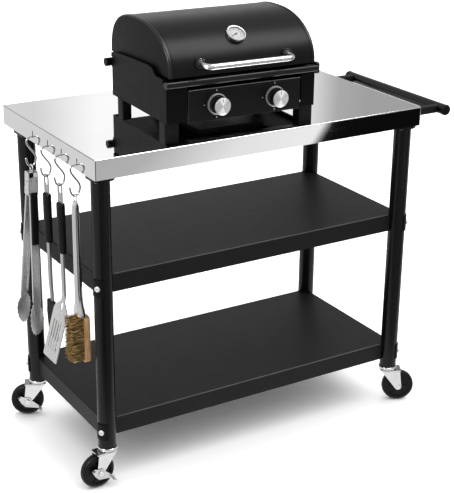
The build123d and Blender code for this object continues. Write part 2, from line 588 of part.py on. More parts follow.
th = TH_P.location * (cz(0, 0, 0.05, 9, 23.5) - cz(0, 0, 5.5, 12, 20.5))
th += TH_P.location * cz(0, 0, -34, 1, 5.0)
th += TH_P.location * cz(0, 0, 5, 7.6, 1.0)
gsave("thermometer", th)
needle = Polyline((-1.1, -5), (1.1, -5), (0.35, 17), (-0.35, 17), close=True)
nd = extrude(make_face(needle), amount=0.8) + cz(0, 0, 0, 0.8, 2.6)
nd -= cz(0, 0, -2, 3, 1.05)
gsave("thermometer_needle", TH_P.location * Pos(0, 0, 6.0) * Rot(0, 0, 115) * nd)

hp = [(-HS_X, HS_Y + 6, hz), (-HS_X, -191, hz - 3), (HS_X, -191, hz - 3), (HS_X, HS_Y + 6, hz)]
hand = rod(hp, 7.2, 16.0)
ferr = [cdir((s * HS_X, HS_Y + 6, hz), (0, -1, 0), 11.0, 0, 14) for s in (-1, 1)]
hand = (hand + ferr[0] + ferr[1]) - barrel(0.03, LID_X0, LID_X1)
gsave("lid_handle", hand)

bez = []
for i, kx in enumerate(KNOB_X):
    r = cy(kx, -157, -150.02, KNOB_Z, 27.0) - cy(kx, -160, -145, KNOB_Z, 21.8)
    r = fillet(r.edges().group_by(Axis.Y)[0], 1.8)
    bez.append(r)
    k = cy(kx, -190, -151.2, KNOB_Z, 21.0)
    k = fillet(k.edges().group_by(Axis.Y)[0], 2.0)
    k -= cy(kx, -169, -140, KNOB_Z, 4.05)
    gsave("knob_left" if i == 0 else "knob_right", k)
gsave("knob_bezels", group(bez))
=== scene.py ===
import bpy
import bmesh
import json
import math
import random
from mathutils import Matrix, Vector


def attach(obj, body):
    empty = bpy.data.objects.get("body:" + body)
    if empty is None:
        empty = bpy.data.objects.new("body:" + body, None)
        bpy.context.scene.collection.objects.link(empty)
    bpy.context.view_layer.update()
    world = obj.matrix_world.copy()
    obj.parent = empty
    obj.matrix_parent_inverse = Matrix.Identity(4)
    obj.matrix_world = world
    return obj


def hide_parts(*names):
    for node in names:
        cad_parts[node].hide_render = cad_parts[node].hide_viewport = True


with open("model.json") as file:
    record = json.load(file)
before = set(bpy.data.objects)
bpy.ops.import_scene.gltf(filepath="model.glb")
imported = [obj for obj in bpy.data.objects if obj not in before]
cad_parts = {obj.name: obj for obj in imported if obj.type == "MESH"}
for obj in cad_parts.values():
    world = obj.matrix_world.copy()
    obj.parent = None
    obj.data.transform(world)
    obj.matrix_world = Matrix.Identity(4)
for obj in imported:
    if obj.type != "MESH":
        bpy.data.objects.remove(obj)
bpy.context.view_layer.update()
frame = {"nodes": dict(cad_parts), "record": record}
N = frame["nodes"]
RNG = random.Random(7)

# ------------------------------------------------------------------ sizes (mm)
MM = 0.001
SX, SY = -22.2556, 5.7811        # shift of the drawing's table centre to the origin
H, W, D = 838.0, 914.0, 528.0
GX, GY, GROT = -20.0, -33.5, math.radians(-2.7)
EYE_X = -W / 2 + 0.75 - 8.0
HOOK_Y = (77.0, -11.0, -89.0, -173.0)
KNOB_X, KNOB_Z = (-69.5, 88.0), 61.0
LID_YF, LID_Y, LID_Z, LID_B, LID_NF = -154.9, 16.2, 134.0, 110.0, 2.14
CASTERS = {"front_left": (-428, -230, 184.0), "front_right": (428, -230, -30.0),
           "back_left": (-433, 178, 157.0), "back_right": (433, 178, 25.0)}


def P(x, y, z):
    return Vector(((x + SX) * MM, (y + SY) * MM, z * MM))


GRILL = Matrix.Translation(P(GX, GY, H + 0.05)) @ Matrix.Rotation(GROT, 4, "Z")


def G(x, y, z):
    return GRILL @ Vector((x * MM, y * MM, z * MM))


# ------------------------------------------------------------------ materials
def new_mat(name):
    m = bpy.data.materials.new(name)
    m.use_nodes = True
    nt = m.node_tree
    return m, nt, nt.nodes["Principled BSDF"]


def coords(nt, stretch=None, coord="Object", rot=None):
    tc = nt.nodes.new("ShaderNodeTexCoord")
    mp = nt.nodes.new("ShaderNodeMapping")
    if stretch:
        mp.inputs["Scale"].default_value = stretch
    if rot:
        mp.inputs["Rotation"].default_value = rot
    nt.links.new(tc.outputs[coord], mp.inputs["Vector"])
    return mp.outputs["Vector"]


def noise(nt, scale, detail=3.0, rough=0.55, stretch=None):
    n = nt.nodes.new("ShaderNodeTexNoise")
    n.inputs["Scale"].default_value = scale
    n.inputs["Detail"].default_value = detail
    n.inputs["Roughness"].default_value = rough
    nt.links.new(coords(nt, stretch), n.inputs["Vector"])
    return n.outputs["Fac"]


def ramp(nt, src, stops):
    r = nt.nodes.new("ShaderNodeValToRGB")
    el = r.color_ramp.elements
    el[0].position, el[0].color = stops[0][0], (*stops[0][1], 1)
    el[1].position, el[1].color = stops[-1][0], (*stops[-1][1], 1)
    for p, c in stops[1:-1]:
        e = el.new(p)
        e.color = (*c, 1)
    nt.links.new(src, r.inputs["Fac"])
    return r.outputs["Color"]


def span(nt, src, lo, hi, a=0.3, b=0.7, smooth=False):
    r = nt.nodes.new("ShaderNodeMapRange")
    if smooth:
        r.interpolation_type = "SMOOTHSTEP"
    r.inputs["From Min"].default_value = a
    r.inputs["From Max"].default_value = b
    r.inputs["To Min"].default_value = lo
    r.inputs["To Max"].default_value = hi
    nt.links.new(src, r.inputs["Value"])
    return r.outputs["Result"]


def math2(nt, op, a, b):
    n = nt.nodes.new("ShaderNodeMath")
    n.operation = op
    for i, v in enumerate((a, b)):
        if isinstance(v, (int, float)):
            n.inputs[i].default_value = v
        else:
            nt.links.new(v, n.inputs[i])
    return n.outputs[0]


def bump(nt, b, src, strength, dist):
    n = nt.nodes.new("ShaderNodeBump")
    n.inputs["Strength"].default_value = strength
    n.inputs["Distance"].default_value = dist
    nt.links.new(src, n.inputs["Height"])
    nt.links.new(n.outputs["Normal"], b.inputs["Normal"])


def shade(c, k):
    return tuple(min(1.0, x * k) for x in c)


def coated(name, base, rough, var=0.14, rvar=0.05, grain=1400.0, bstr=0.08, bdist=0.00015, spec=0.5, scuff=0.0):
    """Paint, enamel or plastic: slight tone drift, uneven gloss, a fine grain and faint scuffs."""
    m, nt, b = new_mat(name)
    b.inputs["Specular IOR Level"].default_value = spec
    drift = noise(nt, 9.0, 4.0)
    stops = [(0.3, shade(base, 1 - var)), (0.7, shade(base, 1 + var))]
    nt.links.new(ramp(nt, drift, stops), b.inputs["Base Color"])
    gl = noise(nt, 38.0, 6.0, 0.62)
    r = span(nt, gl, rough - rvar, rough + rvar)
    if scuff:
        r = math2(nt, "ADD", r, span(nt, noise(nt, 60.0, 7.0, 0.7, (1.0, 0.25, 1.0)), 0.0, scuff, 0.6, 0.75))
    nt.links.new(r, b.inputs["Roughness"])
    bump(nt, b, noise(nt, grain, 2.0), bstr, bdist)
    return m


def metal(name, base, rough, rvar=0.03, var=0.05, streak=None, grain=220.0, bstr=0.03, bdist=0.0001):
    m, nt, b = new_mat(name)
    b.inputs["Metallic"].default_value = 1.0
    drift = noise(nt, 14.0, 4.0)
    nt.links.new(ramp(nt, drift, [(0.3, shade(base, 1 - var)), (0.7, shade(base, 1 + var))]), b.inputs["Base Color"])
    g = noise(nt, grain, 3.0, 0.6, streak)
    nt.links.new(span(nt, g, max(0.01, rough - rvar), rough + rvar), b.inputs["Roughness"])
    bump(nt, b, g, bstr, bdist)
    return m


def wood(name):
    """Straight-grained oiled wood: long fibres, growth bands and small pores."""
    m, nt, b = new_mat(name)
    b.inputs["Specular IOR Level"].default_value = 0.35
    wave = nt.nodes.new("ShaderNodeTexWave")
    wave.bands_direction = "Y"
    wave.inputs["Scale"].default_value = 70.0
    wave.inputs["Distortion"].default_value = 5.0
    wave.inputs["Detail"].default_value = 3.0
    wave.inputs["Detail Scale"].default_value = 1.4
    nt.links.new(coords(nt, (1.0, 1.0, 0.10)), wave.inputs["Vector"])
    fib = noise(nt, 900.0, 4.0, 0.65, (1.0, 1.0, 0.04))
    mixf = math2(nt, "ADD", math2(nt, "MULTIPLY", wave.outputs["Fac"], 0.55), math2(nt, "MULTIPLY", fib, 0.45))
    nt.links.new(ramp(nt, mixf, [(0.22, (0.30, 0.155, 0.065)), (0.5, (0.50, 0.29, 0.135)), (0.8, (0.66, 0.43, 0.23))]), b.inputs["Base Color"])
    nt.links.new(span(nt, fib, 0.42, 0.62), b.inputs["Roughness"])
    bump(nt, b, fib, 0.25, 0.0003)
    return m


def turned(name, base, rough, centre, axis_rot):
    """Lathe-turned face: fine circles about its own centre, with light and dark fans painted into its colour as a
    painted highlight.
    """
    m, nt, b = new_mat(name)
    b.inputs["Metallic"].default_value = 0.5
    tc = nt.nodes.new("ShaderNodeTexCoord")
    mp = nt.nodes.new("ShaderNodeMapping")
    mp.vector_type = "TEXTURE"
    mp.inputs["Location"].default_value = centre
    mp.inputs["Rotation"].default_value = axis_rot
    nt.links.new(tc.outputs["Object"], mp.inputs["Vector"])
    gr = nt.nodes.new("ShaderNodeTexGradient")
    gr.gradient_type = "RADIAL"
    nt.links.new(mp.outputs["Vector"], gr.inputs["Vector"])
    wv = nt.nodes.new("ShaderNodeTexWave")
    wv.wave_type = "RINGS"
    wv.rings_direction = "Z"
    wv.inputs["Scale"].default_value = 420.0
    wv.inputs["Distortion"].default_value = 0.6
    nt.links.new(mp.outputs["Vector"], wv.inputs["Vector"])
    # painted highlight: the colour is lighter and darker by angle about the centre
    lo_, hi_ = shade(base, 0.66), shade(base, 1.25)
    painted_highlight_fans = ramp(nt, gr.outputs["Fac"], [(0.0, shade(base, 0.6)), (0.10, lo_), (0.2, hi_), (0.27, hi_), (0.36, lo_), (0.5, shade(base, 0.75)),
                                        (0.6, lo_), (0.7, hi_), (0.79, hi_), (0.88, lo_), (1.0, shade(base, 0.6))])
    nt.links.new(painted_highlight_fans, b.inputs["Base Color"])
    nt.links.new(span(nt, wv.outputs["Fac"], rough - 0.04, rough + 0.04, 0, 1), b.inputs["Roughness"])
    bump(nt, b, wv.outputs["Fac"], 0.03, 0.00003)
    return m


M = {
    "polished_steel": metal("polished_steel", (0.86, 0.86, 0.865), 0.03, 0.008, 0.012, (0.04, 1.0, 1.0), 420.0, 0.004, 0.00003),
    "black_steel": coated("black_powder_coat", (0.0064, 0.0064, 0.0066), 0.46, rvar=0.02, spec=0.24, scuff=0.03),
    "black_enamel": coated("black_enamel", (0.0050, 0.0050, 0.0053), 0.36, rvar=0.02, grain=900.0, bstr=0.12, spec=0.15, scuff=0.03),
    "black_plastic": coated("black_plastic", (0.0034, 0.0034, 0.0036), 0.46, grain=2400.0, bstr=0.15, spec=0.16),
    "chrome": metal("chrome", (0.90, 0.90, 0.905), 0.10, 0.03, 0.02),
    "tool_steel": metal("tool_steel", (0.70, 0.70, 0.70), 0.30, 0.05, 0.06, (1.0, 1.0, 0.05), 300.0, 0.008),
    "dark_screws": metal("dark_screws", (0.28, 0.28, 0.29), 0.3),
    "wheel_rubber": coated("wheel_rubber", (0.0042, 0.0042, 0.0045), 0.42, grain=700.0, bstr=0.14, spec=0.2),
    "wood": wood("brush_wood"),
    "brass": metal("brass_wire_painted_glints", (0.46, 0.31, 0.115), 0.36, 0.08, 0.3),
    "cast_iron": coated("cast_iron", (0.012, 0.012, 0.012), 0.6, grain=500.0, bstr=0.3, bdist=0.0003),
    "knob_metal": metal("knob_metal", (0.78, 0.78, 0.78), 0.24, 0.05),
    "needle_red": coated("needle_dark", (0.05, 0.012, 0.012), 0.45),
}
M["tool_steel"].node_tree.nodes["Principled BSDF"].inputs["Metallic"].default_value = 0.8
M["brass"].node_tree.nodes["Principled BSDF"].inputs["Metallic"].default_value = 0.75
TUBE = coated("black_tube", (0.0034, 0.0034, 0.0036), 0.26, rvar=0.03, spec=0.28, scuff=0.04)
SHELF = coated("black_shelf_coat", (0.0070, 0.0070, 0.0072), 0.50, rvar=0.02, spec=0.23, scuff=0.03)
HOOK = metal("hook_wire", (0.58, 0.58, 0.59), 0.16, 0.03, 0.04)
nt_ = M["brass"].node_tree
# partly random tone along the wires, partly painted light: the near-black stretches are painted shade between the
# wires, the bright gold stretches are painted glints
flick = noise(nt_, 420.0, 2.0, 0.5, (0.12, 1.0, 1.0))
glint_and_shade_tone = ramp(nt_, flick, [(0.36, (0.045, 0.026, 0.008)), (0.5, (0.36, 0.23, 0.075)), (0.64, (0.95, 0.74, 0.38))])
nt_.links.new(glint_and_shade_tone, nt_.nodes["Principled BSDF"].inputs["Base Color"])
FORK = metal("fork_zinc_painted_gap_shade", (0.80, 0.80, 0.805), 0.16, 0.05, 0.10, None, 90.0, 0.05, 0.0003)
# painted shade: thin dark bands across the swivel at fixed heights, where the gaps between race, crown and fork lie in
# shade
nt_ = FORK.node_tree
zpos = nt_.nodes.new("ShaderNodeSeparateXYZ")
nt_.links.new(coords(nt_), zpos.inputs[0])
painted_gap_shade = ramp(nt_, span(nt_, zpos.outputs["Z"], 0.0, 1.0, 0.086, 0.106), [(0.0, (1, 1, 1)), (0.13, (1, 1, 1)), (0.17, (0.40, 0.40, 0.40)), (0.22, (1, 1, 1)),
                                                                        (0.33, (0.95, 0.95, 0.95)), (0.36, (0.22, 0.22, 0.22)), (0.42, (0.30, 0.30, 0.30)),
                                                                        (0.48, (0.9, 0.9, 0.9)), (0.56, (1, 1, 1)), (0.60, (0.55, 0.55, 0.55)), (0.66, (1, 1, 1)), (1.0, (1, 1, 1))])
both = nt_.nodes.new("ShaderNodeMix")
both.data_type, both.blend_type = "RGBA", "MULTIPLY"
both.inputs[0].default_value = 1.0
pb = nt_.nodes["Principled BSDF"]
nt_.links.new(pb.inputs["Base Color"].links[0].from_socket, both.inputs[6])
nt_.links.new(painted_gap_shade, both.inputs[7])
nt_.links.new(both.outputs[2], pb.inputs["Base Color"])
EDGE = coated("black_enamel_edge", (0.0060, 0.0060, 0.0063), 0.36, rvar=0.03, grain=900.0, bstr=0.12, spec=0.36, scuff=0.06)
# painted shade: a darker, less glossy copy of the black enamel for the grill's end panels and the lid's flat end faces,
# standing in for the shade on these side faces
SHADED_SIDE = coated("black_enamel_painted_shade_side", (0.0024, 0.0024, 0.0026), 0.42, rvar=0.03, grain=900.0, bstr=0.12, spec=0.085, scuff=0.03)
SHAFT = metal("shaft_steel", (0.47, 0.47, 0.475), 0.28, 0.05, 0.10, (1.0, 1.0, 0.05), 300.0, 0.01)
BLADE = metal("blade_steel", (0.68, 0.68, 0.68), 0.30, 0.05, 0.06, (1.0, 1.0, 0.05), 300.0, 0.008)
nt_ = BLADE.node_tree
zpos = nt_.nodes.new("ShaderNodeSeparateXYZ")
nt_.links.new(coords(nt_), zpos.inputs[0])
neck = ramp(nt_, span(nt_, zpos.outputs["Z"], 0.0, 1.0, (H - 430.0) * MM, (H - 360.0) * MM), [(0.0, (1, 1, 1)), (0.35, (0.95, 0.95, 0.95)), (1.0, (0.68, 0.68, 0.68))])
both = nt_.nodes.new("ShaderNodeMix")
both.data_type, both.blend_type = "RGBA", "MULTIPLY"
both.inputs[0].default_value = 1.0
pb = nt_.nodes["Principled BSDF"]
pb.inputs["Metallic"].default_value = 0.8
nt_.links.new(pb.inputs["Base Color"].links[0].from_socket, both.inputs[6])
nt_.links.new(neck, both.inputs[7])
nt_.links.new(both.outputs[2], pb.inputs["Base Color"])
# painted highlight: a dark grey, lighter than the panel, for the strip along the control panel's left edge
PANEL_SIDE_HIGHLIGHT = coated("panel_side_painted_highlight", (0.024, 0.024, 0.0245), 0.40, var=0.2, spec=0.4)
BOLT = metal("bolt_zinc", (0.86, 0.86, 0.86), 0.32, 0.05, 0.06)
BOLT.node_tree.nodes["Principled BSDF"].inputs["Metallic"].default_value = 0.45
RAIL = coated("black_rail", (0.0050, 0.0050, 0.0053), 0.32, rvar=0.03, grain=900.0, bstr=0.12, spec=0.34, scuff=0.05)
# painted highlight: a light grey for the strip along the control panel's top edge
PANEL_TOP_HIGHLIGHT = coated("panel_top_edge_painted_highlight", (0.15, 0.15, 0.151), 0.38, var=0.2, spec=0.5)
PUSH = coated("black_push_handle", (0.0020, 0.0020, 0.0022), 0.24, rvar=0.03, spec=0.36, scuff=0.04)
# painted shade: a near-black, nearly matte copy of the black enamel on the firebox, whose underside lies in shade
SHADED_FIREBOX = coated("black_firebox_painted_shade", (0.0014, 0.0014, 0.0015), 0.48, rvar=0.03, grain=900.0, bstr=0.12, spec=0.03, scuff=0.02)
# painted highlight: lighter grey for the line along the shelves' front folds
SHELF_FOLD_HIGHLIGHT = coated("shelf_fold_painted_highlight", (0.080, 0.080, 0.081), 0.38, var=0.18, spec=0.5)
BRAKE = metal("brake_zinc", (0.70, 0.70, 0.705), 0.22, 0.06, 0.12, None, 90.0, 0.05, 0.0003)
GAUGE = metal("gauge_rim", (0.40, 0.40, 0.405), 0.32, 0.05, 0.08)
BAR = metal("handle_steel", (0.80, 0.80, 0.805), 0.20, 0.04, 0.04, (0.05, 1.0, 1.0), 300.0, 0.02)
# painted shade: darker, duller steel for the line along the top's left fold
TOP_FOLD_SHADE = metal("fold_line_painted_shade", (0.34, 0.34, 0.345), 0.34, 0.06, 0.12)
# dark steel for the drip tray, darkened further as painted shade under the grill
SHADED_TRAY = metal("dark_tray_steel_painted_shade", (0.03, 0.03, 0.031), 0.42, 0.06)
BRIGHT = metal("brush_tube_steel", (0.70, 0.70, 0.705), 0.15, 0.03, 0.03, (1.0, 1.0, 0.05), 260.0, 0.03)
SLOT = {}
for sp in frame["record"]["subparts"]:
    o = N[sp["node"]]
    SLOT[sp["node"]] = sp["material_slot"]
    o.data.materials.clear()
    o.data.materials.append(M[sp["material_slot"]])
for name, mat in [(n, TUBE) for n in N if n.startswith("leg_") and n != "leg_sockets"] + [("handle_bar", PUSH), ("spatula_shaft", SHAFT), ("turner_blade", BLADE), ("drip_tray", SHADED_TRAY), ("firebox", SHADED_FIREBOX), ("thermometer", GAUGE), ("middle_shelf", SHELF), ("lower_shelf", SHELF), ("grill_end_panels", SHADED_SIDE), ("grill_rail", RAIL), ("shelf_bolts", BOLT), ("lid_handle", BAR)] + [("swivel_" + k, FORK) for k in CASTERS] + [("brake_" + k, BRAKE) for k in CASTERS if "brake_" + k in N] + [("s_hook_%d" % k, HOOK) for k in range(1, 5)]:
    N[name].data.materials.clear()
    N[name].data.materials.append(mat)

DIAL = coated("dial_face", (0.40, 0.40, 0.395), 0.45, var=0.06, grain=1800.0, bstr=0.05)
# dark ink for the dial ticks and knob mark, also used as painted shade inside the hook slots
INK_AND_SLOT_SHADE = coated("dial_ink_and_slot_shade", (0.02, 0.02, 0.022), 0.5, grain=1800.0)
PRINT = coated("panel_print", (0.55, 0.55, 0.54), 0.5, var=0.1, grain=1800.0)
CORE = coated("wheel_core", (0.0035, 0.0035, 0.0037), 0.34, grain=500.0, bstr=0.1, spec=0.2)


# ------------------------------------------------------------------ mesh tools
def piece(name, verts, faces, mat, body, smooth=None):
    me = bpy.data.meshes.new(name)
    me.from_pydata([tuple(v) for v in verts], [], faces)
    bm = bmesh.new()
    bm.from_mesh(me)
    bmesh.ops.remove_doubles(bm, verts=bm.verts, dist=1e-7)
    bmesh.ops.recalc_face_normals(bm, faces=bm.faces)
    bm.to_mesh(me)
    bm.free()
    me.materials.append(mat)
    o = bpy.data.objects.new(name, me)
    bpy.context.scene.collection.objects.link(o)
    if smooth is not None:
        for p in me.polygons:
            p.use_smooth = True
        me.set_sharp_from_angle(angle=math.radians(smooth))
    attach(o, body)
    return o


def lathe(profile, at, n=64):
    """Closed (r, h) loop turned about the local z axis of the matrix at; r and h in mm."""
    verts, faces = [], []
    m = len(profile)
    for k in range(n):
        t = 2 * math.pi * k / n
        for r, h in profile:
            verts.append(at @ Vector((r * math.cos(t) * MM, r * math.sin(t) * MM, h * MM)))
    for k in range(n):
        a, b = k * m, ((k + 1) % n) * m
        for i in range(m):
            j = (i + 1) % m
            faces.append((a + i, b + i, b + j, a + j))
    return verts, faces


def slab(at, x0, x1, y0, y1, z0, z1):
    """Box with small chamfers, in the local frame of at, mm."""
    c = min(x1 - x0, y1 - y0, z1 - z0) * 0.22
    bm = bmesh.new()
    bmesh.ops.create_cube(bm, size=1.0)
    for v in bm.verts:
        v.co = Vector((x0 + (v.co.x + 0.5) * (x1 - x0), y0 + (v.co.y + 0.5) * (y1 - y0), z0 + (v.co.z + 0.5) * (z1 - z0)))
    bmesh.ops.bevel(bm, geom=list(bm.edges), offset=c, segments=2, affect="EDGES", profile=0.5)
    bm.verts.ensure_lookup_table()
    verts = [at @ (v.co * MM) for v in bm.verts]
    faces = [tuple(v.index for v in f.verts) for f in bm.faces]
    bm.free()
    return verts, faces


def join(parts):
    V, F = [], []
    for v, f in parts:
        n = len(V)
        V += v
        F += [tuple(i + n for i in q) for q in f]
    return V, F


def wire(p, q, r, sides=5):
    """Thin straight wire with a chamfered tip from p to q (metres)."""
    ax = (q - p).normalized()
    u = ax.orthogonal().normalized()
    w = ax.cross(u)
    V, F = [], []
    for pt, rr in ((p, r), (q - ax * r, r), (q, r * 0.45)):
        for k in range(sides):
            t = 2 * math.pi * k / sides
            V.append(pt + (u * math.cos(t) + w * math.sin(t)) * rr)
    for s in (0, 1):
        for k in range(sides):
            j = (k + 1) % sides
            F.append((s * sides + k, s * sides + j, (s + 1) * sides + j, (s + 1) * sides + k))
    F.append(tuple(range(2 * sides, 3 * sides)))
    F.append(tuple(range(sides - 1, -1, -1)))
    return V, F


# ------------------------------------------------------------------ wheels
TYRE = [(31.0, -9.0), (31.4, -11.4), (33.0, -12.4), (37.6, -11.9), (41.0, -9.6), (42.9, -6.0), (43.42, -2.0), (43.42, 2.0),
        (42.9, 6.0), (41.0, 9.6), (37.6, 11.9), (33.0, 12.4), (31.4, 11.4), (31.0, 9.0)]
HUB = [(4.1, -14.4), (10.2, -14.4), (10.9, -13.6), (11.6, -9.6), (13.5, -8.8), (28.5, -8.8), (29.9, -9.8), (31.1, -9.8), (31.1, 9.8),
       (29.9, 9.8), (28.5, 8.8), (13.5, 8.8), (11.6, 9.6), (10.9, 13.6), (10.2, 14.4), (4.1, 14.4)]
for key, (lx, ly, ang) in CASTERS.items():
    t = math.radians(ang)
    at = Matrix.Translation(P(lx + 30 * math.cos(t), ly + 30 * math.sin(t), 43.5)) @ Matrix.Rotation(t, 4, "Z") @ Matrix.Rotation(math.radians(-90), 4, "X")
    v, f = lathe(TYRE, at, 96)
    tyre = piece("tyre_" + key, v, f, M["wheel_rubber"], "wheel_" + key, 40)
    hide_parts("wheel_" + key)
    parts = [lathe(HUB, at, 72)]
    for k in range(6):
        rib = at @ Matrix.Rotation(math.radians(60 * k), 4, "Z")
        for s in (-1, 1):
            parts.append(slab(rib, 12.5, 29.0, -1.3, 1.3, min(s * 8.6, s * 10.6), max(s * 8.6, s * 10.6)))
    v, f = join(parts)
    piece("wheel_core_" + key, v, f, CORE, "wheel_" + key, 35)

# ------------------------------------------------------------------ knobs
for i, name in enumerate(("knob_left", "knob_right")):
    at = GRILL @ Matrix.Translation(Vector((KNOB_X[i] * MM, -151.2 * MM, KNOB_Z * MM))) @ Matrix.Rotation(math.radians(90), 4, "X")
    collar = [(4.2, 0), (19.6, 0), (20.4, 0.8), (20.4, 6.0), (19.2, 7.4), (18.9, 27.0), (4.2, 27.0)]
    v, f = lathe(collar, at, 96)
    c = piece(name + "_collar", v, f, M["black_plastic"], name, 30)
    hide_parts(name)
    flutes = []
    for k in range(36):
        fl = at @ Matrix.Rotation(math.radians(10 * k), 4, "Z")
        flutes.append(slab(fl, 18.6, 19.7, -0.7, 0.7, 7.8, 26.6))
    v, f = join(flutes)
    piece(name + "_flutes", v, f, M["black_plastic"], name, 30)
    # the knob face and its bezel carry painted highlight fans in their colour
    fan_painted_face = turned(name + "_face", (0.86, 0.86, 0.855), 0.30, tuple(at.translation), (math.radians(90), 0, GROT))
    cap = [(0.0, 27.0), (19.6, 27.0), (20.7, 27.4), (20.95, 28.0), (20.95, 29.2), (20.4, 30.2), (19.0, 30.9), (17.7, 31.0), (17.3, 30.6), (0.0, 30.4)]
    v, f = lathe(cap, at, 96)
    piece(name + "_cap", v, f, fan_painted_face, name, 30)
    v, f = slab(at @ Matrix.Rotation(math.radians(90), 4, "Z"), 11.0, 19.2, -0.6, 0.6, 30.1, 31.15)
    piece(name + "_mark", v, f, INK_AND_SLOT_SHADE, name, 30)
    fan_painted_ring = turned(name + "_bezel_steel_painted_fans", (0.50, 0.50, 0.505), 0.30, tuple(at.translation), (math.radians(90), 0, GROT))
    v, f = lathe([(21.7, -1.15), (25.2, -1.15), (25.6, 3.6), (25.0, 4.7), (23.9, 5.1), (22.4, 4.7), (21.7, 3.8)], at, 96)
    bz = piece(name + "_bezel", v, f, fan_painted_ring, "grill", 35)
    if i == 0:
        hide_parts("knob_bezels")

# ------------------------------------------------------------------ marks on the control panel
marks = []
for kx in KNOB_X:
    base = Matrix.Translation(Vector((kx * MM, -150.0 * MM, KNOB_Z * MM)))
    for ang, r0, r1, wd in ((0, 30.5, 34.5, 0.8), (90, 32.0, 34.0, 1.0), (180, 30.5, 34.5, 0.8)):
        at = GRILL @ base @ Matrix.Rotation(math.radians(-ang), 4, "Y")
        marks.append(slab(at, -wd, wd, -0.25, 0.1, r0, r1))
v, f = join(marks)
piece("panel_marks", v, f, PRINT, "grill", 30)
# painted highlight: light strip along the control panel's top edge
v, f = slab(GRILL, -143.2, 159.2, -150.2, -148.6, 98.7, 100.15)
piece("panel_top_edge_highlight", v, f, PANEL_TOP_HIGHLIGHT, "grill", 30)
# painted highlight: lighter strip along the control panel's left edge
v, f = slab(GRILL, -144.12, -142.9, -150.2, -148.8, 23.0, 98.4)
piece("panel_side_edge_highlight", v, f, PANEL_SIDE_HIGHLIGHT, "grill", 30)


# ------------------------------------------------------------------ thermometer dial
def lid_z(y):
    u = (LID_Y - y) / (LID_Y - LID_YF)
    return LID_Z + LID_B * (1 - u ** LID_NF) ** (1 / LID_NF)


TH_X, TH_Y = -2.0, -113.5
sl = (lid_z(TH_Y + 0.01) - lid_z(TH_Y - 0.01)) / 0.02
nrm = Vector((0, -sl, 1)).normalized()
yax = nrm.cross(Vector((1, 0, 0)))
local = Matrix(((1, yax.x, nrm.x), (0, yax.y, nrm.y), (0, yax.z, nrm.z))).to_4x4()
DIAL_AT = GRILL @ Matrix.Translation(Vector((TH_X * MM, TH_Y * MM, lid_z(TH_Y) * MM))) @ local
v, f = lathe([(1.15, 5.52), (20.4, 5.52), (20.4, 5.72), (19.6, 5.86), (1.15, 5.80)], DIAL_AT, 72)
piece("thermometer_dial", v, f, DIAL, "lid", 30)
ticks = []
for k in range(25):
    a = math.radians(225 - 270 * k / 24)
    r0, wd = (14.0, 0.42) if k % 4 == 0 else (16.2, 0.22)
    ticks.append(slab(DIAL_AT @ Matrix.Rotation(a, 4, "Z"), r0, 18.4, -wd, wd, 5.78, 5.93))
ticks.append(lathe([(12.2, 5.78), (12.7, 5.78), (12.7, 5.92), (12.2, 5.92)], DIAL_AT, 64))
v, f = join(ticks)
piece("thermometer_ticks", v, f, INK_AND_SLOT_SHADE, "lid", 30)
v, f = lathe([(20.4, 8.6), (21.0, 9.05), (22.6, 9.25), (23.4, 8.7), (23.5, 7.0), (23.0, 7.0), (22.4, 8.4), (21.2, 8.5)], DIAL_AT, 96)
piece("thermometer_rim", v, f, GAUGE, "lid", 40)

# ------------------------------------------------------------------ lid
LID_X0, LID_X1, LID_YB, LID_NB, RIM = -195.5, 197.0, 174.0, 2.72, 4.5


def lid_section(x, d, n=64):
    pts = []
    for k in range(n + 1):
        t = math.pi * k / n
        s, c = math.sin(t), math.cos(t)
        ex = LID_NF if c > 0 else LID_NB
        half = (LID_Y - LID_YF if c > 0 else LID_YB - LID_Y) + d
        pts.append(G(x, LID_Y - math.copysign(abs(c) ** (2 / ex), c) * half, LID_Z + (LID_B + d) * max(s, 0.0) ** (2 / ex)))
    return pts


along = []
for k in range(9):
    t = math.radians(90 * k / 8)
    along.append((RIM * (1 - math.cos(t)), 0.9 - RIM * (1 - math.sin(t))))
along += [(6.5, 0.9), (8.0, 0.9), (8.35, 0.75), (8.6, -0.15), (9.2, -0.2), (9.8, 0.0), (14.0, 0.0)]
span_x = LID_X1 - LID_X0
prof = [(LID_X0 + a, d_) for a, d_ in along] + [(LID_X0 + span_x * k / 12, 0.0) for k in range(1, 12)] + [(LID_X1 - a, d_) for a, d_ in reversed(along)]
outer = [lid_section(x, d_) for x, d_ in prof]
inner = [lid_section(LID_X0 + 2 + (x - LID_X0) * (span_x - 4) / span_x, -2.0) for x, d_ in prof]
m, n = len(outer[0]), len(prof)
V = [q for row in outer for q in row] + [q for row in inner for q in row]
B = n * m
FC = []
for i in range(n - 1):
    for j in range(m - 1):
        a = i * m + j
        FC.append((a, a + 1, a + m + 1, a + m))
        FC.append((B + a, B + a + m, B + a + m + 1, B + a + 1))
    for j in (0, m - 1):
        a = i * m + j
        FC.append((a, a + m, B + a + m, B + a))
for i in (0, n - 1):
    a = i * m
    FC.append(tuple(range(a, a + m)))
    FC.append(tuple(range(B + a, B + a + m)))
    FC.append((a, a + m - 1, B + a + m - 1, B + a))
lid = piece("lid_shell", V, FC, M["black_enamel"], "lid", 50)
lid.data.materials.append(EDGE)
lid.data.materials.append(SHADED_SIDE)
back = GRILL.inverted()
